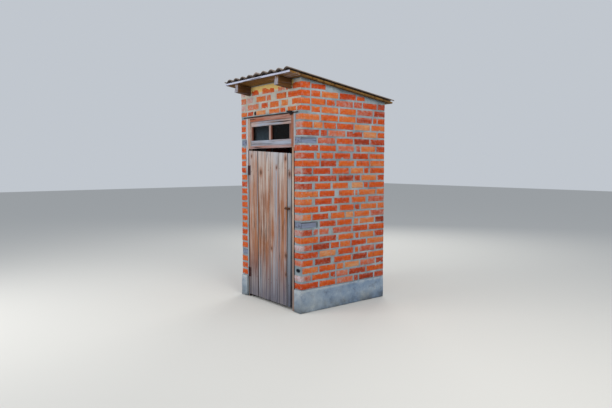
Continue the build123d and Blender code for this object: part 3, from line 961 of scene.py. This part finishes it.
# The courses over the door from the lintel up: each brick's share of a whole one, its kind, and how many
# times as wide as usual the joint after it is
OVER_DOOR = (
    "0.52 orange 0.8, 0.48 brown 3.4, 0.78 tan 3.9, 0.82 orange 0.5, 0.4 red 2.2, 0.6 orange 1, 0.27 red 0",
    "0.42 smeared 2.0, 0.95 pinkish 3.2, 0.52 red 2.4, 0.68 orange 2.6, 0.50 bright 4.0, 0.42 orange 0",
    "0.45 pinkish 0.8, 0.53 smeared 4.0, 0.78 orange 0.8, 0.36 pinkish 6.0, 0.74 orange 1.6, 0.55 red 0",
    "0.36 smeared 8.6, 0.58 red 4.2, 0.95 orange 4.0, 0.50 pinkish 1.0, 0.50 red 0",
)
# How much paler than elsewhere the bricks over the door are painted, as the sunlight that falls there
PAINTED_SUNLIGHT = 0.13
# The first brick in odd and even courses, at the front corner and behind the wall over the door
FIRST_AT_CORNER = (0.158, 0.246)
FIRST_BEHIND = (BRICK_LENGTH * 0.5, BRICK_LENGTH * 0.8)
LEFT_PIER_KINDS = ("orange", "bright", "red", "orange")


def out_of_true(most=OUT_OF_TRUE):
    return rng.uniform(-most, most)


def brick_look():
    """A tone and smear of a kind picked by how common it is."""
    kind = rng.choices(list(KINDS.values()), [common for _, _, common in KINDS.values()])[0]
    return kind[0] + rng.uniform(-0.05, 0.05), kind[1]


def course_spans(start, end, first, closers):
    """Brick spans along one course, from a first piece of a given length, with a share of cut bricks."""
    spans = []
    at = start
    length = first
    while at < end - SHORTEST_GAP:
        stop = at + length
        if end - stop < SHORTEST_AT_END + JOINT:
            stop = end
        spans.append((at, min(stop, end)))
        at = stop + JOINT * rng.uniform(0.75, 1.2)
        length = BRICK_LENGTH * rng.uniform(0.965, 1.02)
        if rng.random() < closers:
            length *= rng.choice(CUT_SHARES)
    return spans


def chance_course(start, end, first):
    """Spans along a course that is laid by chance, each with a tone and smear."""
    return [(low, high, *brick_look()) for low, high in course_spans(start, end, first, 0.12)]


def written_course(row, start, end):
    """Spans along a written course, each with its brick's tone and smear."""
    spans = []
    at = start
    for word in row.split(", "):
        tenths, kind = word.split()
        stop = at + float(tenths) * BRICK_LENGTH / 10
        if kind == "gap":
            at = stop
            continue
        tone, smear, _ = KINDS[kind]
        if end - at > SHORTEST_AT_REAR:
            spans.append((at, min(stop, end), tone + rng.uniform(-0.03, 0.03), smear))
        at = stop + JOINT
    return spans


def fits_under_roof(low, high):
    """Cuts a brick's top off where the roof boards come down, or gives nothing if too little is left."""
    top = min(high[2], deck_height(high[1]) - UNDER_DECK)
    return None if top - low[2] < LOWEST_UNDER_DECK else (low, (high[0], high[1], top))


def block_end(course, side):
    """How far back the nailing block in a course of a side wall reaches, if there is one."""
    middle = course_bottom(course) + BRICK_HEIGHT / 2
    for low, high in NOGS:
        if low.x * side > 0 and abs((low.z + high.z) / 2 - middle) < COURSE / 2:
            return high.y
    return None


def side_wall_bricks(side):
    """Courses of a side wall: whole brick and two-thirds brick by turns at the front corner."""
    outer = side * (RIGHT_FACE + BRICK_PROUD)
    inner = side * (INNER_HALF - BRICK_PROUD)
    short_end = side * (INNER_HALF + SHORT_OF_WINDOW)
    short_from = LIME_FOOT if side < 0 else TRANSOM
    x_low, x_high = min(outer, inner), max(outer, inner)
    bricks = []
    for course in range(LAST_COURSE + 1):
        even = course % 2 == 0
        start = FRONT_FACE - BRICK_PROUD
        end = BACK_FACE - WALL - JOINT if even else BACK_FACE + BRICK_PROUD
        first = FIRST_AT_CORNER[even] * rng.uniform(0.97, 1.03)
        if course >= LINTEL_COURSE:
            start, first = FRONT_FACE + WALL + JOINT, FIRST_BEHIND[even]
        nailing = block_end(course, side)
        if nailing:
            start, first = nailing + JOINT, BRICK_LENGTH
        z = course_bottom(course) + out_of_true()
        if side > 0 and course < len(RIGHT_WALL):
            if course == HOLE_COURSE:
                start += HOLE_RECESS
            spans = written_course(RIGHT_WALL[course], start, BACK_FACE + BRICK_PROUD)
        else:
            spans = chance_course(start, end, first)
            if side < 0:
                tone, smear, _ = KINDS[rng.choice(LEFT_PIER_KINDS)]
                spans[0] = (*spans[0][:2], tone, smear)
        for y_low, y_high, tone, smear in spans:
            lean = out_of_true()
            low, high = [x_low + lean, y_low, z], [x_high + lean, y_high, z + BRICK_HEIGHT]
            if y_low < FRONT_FACE and FRAME_TOP > z > short_from:
                inner_end = low if side > 0 else high
                inner_end[0] = short_end
            corners = fits_under_roof(low, high)
            if corners:
                bricks.append((*corners, tone, smear))
    return bricks


def clear_of_rafters(spans, z_top, y):
    """Stops brick spans short of the rafters, which go through the wall there."""
    if z_top < deck_height(y) - RAFTER_DEPTH:
        return spans
    for node in ("rafter_left", "rafter_right"):
        low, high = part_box(node)
        left, right = low.x - RAFTER_JOINT, high.x + RAFTER_JOINT
        kept = []
        for start, end in spans:
            if end < left + RAFTER_JOINT / 2 or start > right - RAFTER_JOINT / 2:
                kept.append((start, end))
                continue
            if left - start > SHORTEST_BY_RAFTER:
                kept.append((start, left))
            if end - right > SHORTEST_BY_RAFTER:
                kept.append((right, end))
        spans = kept
    return spans


def back_wall_bricks():
    """Courses of the back wall, between or over the side walls by turns."""
    y_low, y_high = BACK_BRICKS
    bricks = []
    for course in range(LAST_COURSE):
        z = course_bottom(course) + out_of_true()
        full = course % 2 == 0
        reach = RIGHT_FACE + BRICK_PROUD if full else INNER_HALF - JOINT
        right_end = INNER_HALF - JOINT if course < len(RIGHT_WALL) else reach
        spans = course_spans(-reach, right_end, BRICK_LENGTH * (1.0 if full else 0.62), 0.3)
        for x_low, x_high in clear_of_rafters(spans, z + BRICK_HEIGHT, (y_low + y_high) / 2):
            lean = out_of_true()
            corners = fits_under_roof((x_low, y_low + lean, z), (x_high, y_high + lean, z + BRICK_HEIGHT))
            if corners:
                bricks.append((*corners, *brick_look()))
    return bricks


def bricks_over_door():
    """The courses between the lintel and the roof boards, as they were laid, from pier to pier."""
    y_low, y_high = FRONT_BRICKS
    right_end = RIGHT_FACE + BRICK_PROUD
    bricks = []
    for number, row in enumerate(OVER_DOOR):
        z = course_bottom(LINTEL_COURSE + number) + out_of_true(0.002)
        slot = 0 if number else LINTEL_SLOT
        at = LEFT_FACE - BRICK_PROUD
        words = row.split(", ")
        for word in words:
            share, kind, joints = word.split()
            end = right_end if word is words[-1] else min(at + float(share) * BRICK_LENGTH, right_end)
            tone, smear, _ = KINDS[kind]
            for x_low, x_high in clear_of_rafters([(at, end)], z + BRICK_HEIGHT, FRONT_FACE):
                corners = fits_under_roof((x_low, y_low, z + slot), (x_high, y_high, z + BRICK_HEIGHT))
                if corners:
                    # Painted sunlight: the bricks over the door are made paler
                    bricks.append((*corners, tone + PAINTED_SUNLIGHT + rng.uniform(-0.04, 0.04), smear))
            at = end + float(joints) * JOINT
    return bricks


laid = {
    "bricks_left": side_wall_bricks(-1),
    "bricks_right": side_wall_bricks(1),
    "bricks_back": back_wall_bricks(),
    "bricks_over_door": bricks_over_door(),
}
for name, bricks in laid.items():
    piece = joined_bricks(name, bricks, brick)
    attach(piece, "building")

# Hollows in the mortar, recessed and painted dark as shade: the axis that they face along, their middle,
# half width and half height
HOLES = (
    (0, Vector((RIGHT_FACE, LOWER_NOG[1].y + 0.007, (LOWER_NOG[0].z + LOWER_NOG[1].z) / 2)), 0.008, 0.038),
    (1, Vector((RIGHT_FACE - 0.056, FRONT_FACE, course_bottom(HOLE_COURSE) + 0.036)), 0.036, 0.022),
    (1, Vector((LEFT_FACE + 0.300, FRONT_FACE, course_bottom(LINTEL_COURSE) + 0.040)), 0.026, 0.024),
)
# Surfaces that lie closer together than this are one face
SAME_FACE = 0.001
# How far the pointing stands out of the wall: its middle, the least and the most, in a hollow, where it is
# earthy, over a wooden block and along its own rim
POINTING = 0.0014
POINTING_RANGE = (0.0004, 0.0080)
HOLLOW_FLOOR = 0.0003
EARTH_OUT = 0.0025
UNDER_BLOCK = -0.012
UNDER_RIM = -0.003
# Its lumps, and how it laps over the bricks' rims in lumps: how long they are, and how high or wide
POINTING_LUMPS = (0.055, 0.0013)
LAP_LUMPS = (0.060, 0.0070)
EARTH_LUMPS = (0.05, 0.002)
# How far the laps stay back between the lumps, and how steeply they end
LAP_BACK = 0.0008
LAP_SLOPE = 0.9
# How far down the earth reaches from the boards, and how far the marks take to fade in
EARTH_DEPTH = 0.095
EARTH_FADE = 0.05
PIER_FADE = 0.03
LIME_FADE = 0.10
SLOT_FADE = 0.004
# How far inside a block's outline the sheet drops behind it
BLOCK_RIM = 0.002


def uneven(points, length_and_height, seed):
    length, height = length_and_height
    return rough(points, length, seed) * height


def how_deep_inside(u, z, box, across):
    """How far each place on a face lies inside a box's outline, which is below zero outside it."""
    low, high = box
    return np.minimum.reduce([u - low[across], high[across] - u, z - low[2], high[2] - z])


def hollows(u, z, axis, face):
    """How hollow each place on a wall face is, from 0 to 1, which is also how thickly painted shade goes on
    it.
    """
    hollow = np.zeros(u.shape)
    for hole_axis, place, half_width, half_height in HOLES:
        if hole_axis == axis and abs(place[axis] - face) < SAME_FACE:
            spread = np.hypot((u - place[1 - axis]) / half_width, (z - place[2]) / half_height)
            hollow = np.maximum(hollow, rising(1.15 - spread, 0.3))
    return hollow


def mortar_face(name, axis, face, sign, limits, bottom, seed, top=None, earth=0.0, lime=0.0):
    """The pointing of a wall face: a sheet that fills the joints and laps here and there over the bricks."""
    across = 1 - axis
    low, high = limits
    tops = [top or deck_height(face if axis == 1 else u) - MORTAR_UNDER_DECK for u in limits]
    columns = int((high - low) / MORTAR_CELL) + 2
    rows = int((max(tops) - bottom) / MORTAR_CELL) + 2
    share_u, share_z = np.meshgrid(np.linspace(0, 1, columns), np.linspace(0, 1, rows))
    share_u, share_z = share_u.ravel(), share_z.ravel()
    u = low + (high - low) * share_u
    z = bottom + (tops[0] + (tops[1] - tops[0]) * share_u - bottom) * share_z
    depth = np.full(u.shape, -1.0)
    for bricks in laid.values():
        for brick_low, brick_high, _, _ in bricks:
            outermost = brick_high[axis] if sign > 0 else brick_low[axis]
            if (outermost - face) * sign > SAME_FACE:
                depth = np.maximum(depth, how_deep_inside(u, z, (brick_low, brick_high), across))
    flat = np.stack([u, np.full(u.shape, face), z], axis=1)
    level = POINTING + uneven(flat, POINTING_LUMPS, seed)
    lap = uneven(flat, LAP_LUMPS, seed + 9) - LAP_BACK
    out = np.clip(level - np.maximum(depth - lap, 0) * LAP_SLOPE, *POINTING_RANGE)
    earthy = np.zeros(u.shape)
    hollow = hollows(u, z, axis, face)
    if earth:
        under_deck = rising(z - (deck_height(face) - EARTH_DEPTH), EARTH_FADE)
        between_piers = rising(INNER_HALF - np.abs(u), PIER_FADE)
        earthy = under_deck * between_piers + earth * rising(z - LINTEL_TOP, EARTH_FADE)
        out += earthy * (EARTH_OUT + uneven(flat, EARTH_LUMPS, seed + 3))
        over_lintel = (u > LINTEL[0].x) & (u < LINTEL[1].x)
        # Painted shade along the foot of the mortar over the lintel, in the slot there
        hollow = np.maximum(hollow, rising(bottom + LINTEL_SLOT - z, SLOT_FADE) * over_lintel)
    out = out * (1 - hollow) + HOLLOW_FLOOR * hollow
    for nog in NOGS:
        if nog[0][axis] - SAME_FACE < face < nog[1][axis] + SAME_FACE:
            out = np.where(how_deep_inside(u, z, nog, across) > BLOCK_RIM, UNDER_BLOCK, out)
    rim = (share_u == 0) | (share_u == 1) | (share_z == 0) | (share_z == 1)
    out[rim] = np.minimum(out[rim], UNDER_RIM)
    points = np.zeros((len(u), 3))
    points[:, axis] = face + sign * out
    points[:, across] = u
    points[:, 2] = z
    row, column = np.meshgrid(np.arange(rows - 1), np.arange(columns - 1), indexing="ij")
    first = (row * columns + column).ravel()
    faces = np.stack([first, first + 1, first + columns + 1, first + columns], axis=1)
    if (sign > 0) != (axis == 0):
        faces = faces[:, ::-1]
    # Where the mortar is hollow, the finish paints it dark as shade
    marks = {"earthy": earthy, "hollow": hollow, "limed": lime * rising(z - LIME_FOOT, LIME_FADE)}
    piece = mesh_piece(name, points, faces.tolist(), mortar, marks)
    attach(piece, "building")
    return piece


side_limits = (FRONT_FACE, BACK_FACE)
beside_left_post = (-INNER_HALF - SHORT_OF_WINDOW, OVER_POST - FRAME_HALF)
beside_right_post = (FRAME_HALF - OVER_POST, INNER_HALF + OVER_POST)
pier_top = LINTEL[0].z
mortar_face("mortar_right", 0, RIGHT_FACE, 1, side_limits, BASE_TOP, 3)
mortar_face("mortar_left", 0, LEFT_FACE, -1, side_limits, BASE_TOP, 4)
mortar_face("mortar_back", 1, BACK_FACE, 1, (LEFT_FACE, RIGHT_FACE), BASE_TOP, 5)
# The front faces: ends across, foot, seed, and top, earth and lime where they have them
FRONT_MORTAR = {
    "mortar_pier_left": ((LEFT_FACE, -INNER_HALF), BASE_TOP, 6, pier_top),
    "mortar_pier_right": ((INNER_HALF, RIGHT_FACE), BASE_TOP, 7, pier_top),
    "mortar_over_door": ((LEFT_FACE, RIGHT_FACE), pier_top, 8, None, 0.30),
    "mortar_beside_left_post": (beside_left_post, BASE_TOP, 9, FRAME_TOP, 0.0, 0.75),
    "mortar_beside_window_right": (beside_right_post, TRANSOM, 10, FRAME_TOP, 0.0, 0.60),
}
for name, values in FRONT_MORTAR.items():
    mortar_face(name, 1, FRONT_FACE, -1, *values)


# The rings of a small round head below its tip: shares of its radius and of its rise
RINGS = ((1.0, -0.25), (1.0, 0.35), (0.62, 0.85))
# How far a head's foot stands off what it is on
STAND_OFF = 0.001


def domes(name, places, out, radius, rise, material, body):
    """Small round heads, such as nails and bolts, joined in one mesh. Each stands out of its surface."""
    out = Vector(out).normalized()
    across = out.orthogonal().normalized()
    up = out.cross(across)
    points, faces = [], []
    sides = 10
    for place in places:
        start = len(points)
        size = radius * rng.uniform(0.85, 1.15)
        tilt = across * out_of_true(0.12) + up * out_of_true(0.12)
        normal = (out + tilt).normalized()
        for share, height in RINGS:
            for side in range(sides):
                turn = 2 * math.pi * side / sides
                spread = (across * math.cos(turn) + up * math.sin(turn)) * size * share
                points.append(Vector(place) + spread + normal * rise * height)
        points.append(Vector(place) + normal * rise)
        tip = len(points) - 1
        for ring in range(start, tip, sides):
            for side in range(sides):
                a, b = ring + side, ring + (side + 1) % sides
                faces.append((a, b, tip) if ring + sides == tip else (a, b, b + sides, a + sides))
    piece = mesh_piece(name, points, faces, material, {})
    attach(piece, body)
    return piece


# The narrowest plank that takes two nails side by side
WIDE_PLANK = 0.1
# How thick the hinges' flaps are
FLAP = 0.003


def leaf_nails():
    """Two nails through each plank into each ledge, and one through the narrow strip."""
    places = []
    for ledge in ("door_ledge_lower", "door_ledge_upper"):
        low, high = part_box(ledge)
        for plank in PLANKS:
            plank_low, plank_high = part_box(plank)
            width = plank_high.x - plank_low.x
            shares = (0.22, 0.80) if width > WIDE_PLANK else (0.5,)
            for share in shares:
                x = plank_low.x + width * (share + out_of_true(0.05))
                z = low.z + (high.z - low.z) * rng.uniform(0.25, 0.75)
                places.append((x, plank_low.y, z))
    return places


def hinge_screws(flap, across):
    """Three screws through a flap of both hinges, at a share of its width from the left."""
    places = []
    for level in ("upper", "lower"):
        low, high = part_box(f"hinge_{level}_{flap}")
        x = low.x + (high.x - low.x) * across
        places += [(x, high.y - FLAP, low.z + (high.z - low.z) * share) for share in (0.15, 0.5, 0.85)]
    return places


FORWARD = (0, -1, 0)
eye_low, eye_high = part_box("lintel_bar_eye")
end_bolt = ((eye_low.x + eye_high.x) / 2, LINTEL[0].y - STAND_OFF, LINTEL[0].z)
fixed_screws = hinge_screws("fixed", 0.36)
moving_screws = hinge_screws("moving", 0.64)
domes("leaf_nails", leaf_nails(), FORWARD, 0.0042, 0.0016, rust, "door")
domes("lintel_end_bolt", [end_bolt], FORWARD, 0.019, 0.012, dark_steel, "building")
domes("hinge_screws_fixed", fixed_screws, FORWARD, 0.0035, 0.0014, rust, "building")
domes("hinge_screws_moving", moving_screws, FORWARD, 0.0035, 0.0014, rust, "door")

# The band at each end of a roof sheet, how far round a crest nothing is higher, and the least distance
# between two crests
END_BAND = 0.02
CREST_REACH = 0.055
CREST_APART = 0.05
# The roof's washers: how far behind the eave, and how thick they are
WASHER_ROWS = (0.16, 0.85, 1.44)
WASHER_RISE = 0.004


def wave_crests(node):
    """Places along the crests of a roof sheet, and how it rises towards the rear, from its own surface."""
    points = np.array([v.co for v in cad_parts[node].data.vertices])
    eave = points[points[:, 1] < points[:, 1].min() + END_BAND]
    rear = points[points[:, 1] > points[:, 1].max() - END_BAND]
    eave = eave[np.argsort(eave[:, 0])]
    crests = []
    for point in eave:
        near = eave[np.abs(eave[:, 0] - point[0]) < CREST_REACH]
        if point[2] >= near[:, 2].max() - TOUCHING / 10:
            if not crests or point[0] - crests[-1][0] > CREST_APART:
                crests.append(tuple(point))
    rise = (rear[:, 2].max() - eave[:, 2].max()) / (rear[:, 1].mean() - eave[:, 1].mean())
    return crests, rise


washers = []
for node, first in (("roof_sheet_left", 1), ("roof_sheet_right", 0)):
    crests, rise = wave_crests(node)
    for x, y, z in crests[first::2]:
        washers += [(x, y + back, z + back * rise + STAND_OFF) for back in WASHER_ROWS]
bolt_heads = [(x, y, z + WASHER_RISE) for x, y, z in washers]
upwards = (0, ROOF_FALL, 1)
domes("roof_washers", washers, upwards, 0.016, WASHER_RISE, rust, "building")
domes("roof_bolts", bolt_heads, upwards, 0.0065, 0.006, rust, "building")


def studio():
    """A pale floor and soft lights."""
    bpy.ops.mesh.primitive_plane_add(size=60, location=(0, 0, -0.0005))
    floor = bpy.context.object
    floor.name = "floor"
    paper = Finish("pale_floor")
    paper.colour = (0.60, 0.60, 0.585)
    floor.data.materials.append(paper.finish(0.95, 0.0))
    world = bpy.data.worlds.new("studio")
    world.use_nodes = True
    sky = world.node_tree.nodes["Background"]
    sky.inputs["Color"].default_value = (0.86, 0.92, 1.0, 1.0)
    sky.inputs["Strength"].default_value = 0.62
    bpy.context.scene.world = world
    bpy.context.scene.view_settings.view_transform = "Standard"
    lights = {
        "key": ((4.6, -1.2, 4.6), 190, (1.0, 0.95, 0.86)),
        "front": ((-1.6, -5.2, 3.0), 150, (1.0, 0.97, 0.92)),
        "rear": ((-3.5, 4.5, 4.5), 150, (1.0, 0.96, 0.88)),
    }
    middle = Vector((0, 0, 1.3))
    for name, (place, power, colour) in lights.items():
        lamp = bpy.data.lights.new(name, "AREA")
        lamp.size = 3.0
        lamp.energy = power
        lamp.color = colour
        holder = bpy.data.objects.new(name, lamp)
        bpy.context.scene.collection.objects.link(holder)
        holder.location = place
        holder.rotation_euler = (middle - Vector(place)).to_track_quat("-Z", "Y").to_euler()


def camera():
    """The photograph's camera, found from the brick courses: its place is in courses from the corner."""
    across, back, up = 54.3, -42.65, 16.38
    focal_pixels, image_width = 539.6, 612
    yaw, pitch = 51.36, 4.19
    view = bpy.data.cameras.new("camera")
    view.sensor_width = 36
    view.lens = view.sensor_width * focal_pixels / image_width
    holder = bpy.data.objects.new("camera", view)
    bpy.context.scene.collection.objects.link(holder)
    corner = Vector((RIGHT_FACE, FRONT_FACE, BASE_TOP))
    holder.location = corner + Vector((across, back, up)) * COURSE
    holder.rotation_euler = (math.radians(90 - pitch), 0, math.radians(yaw))
    bpy.context.scene.camera = holder


studio()
camera()
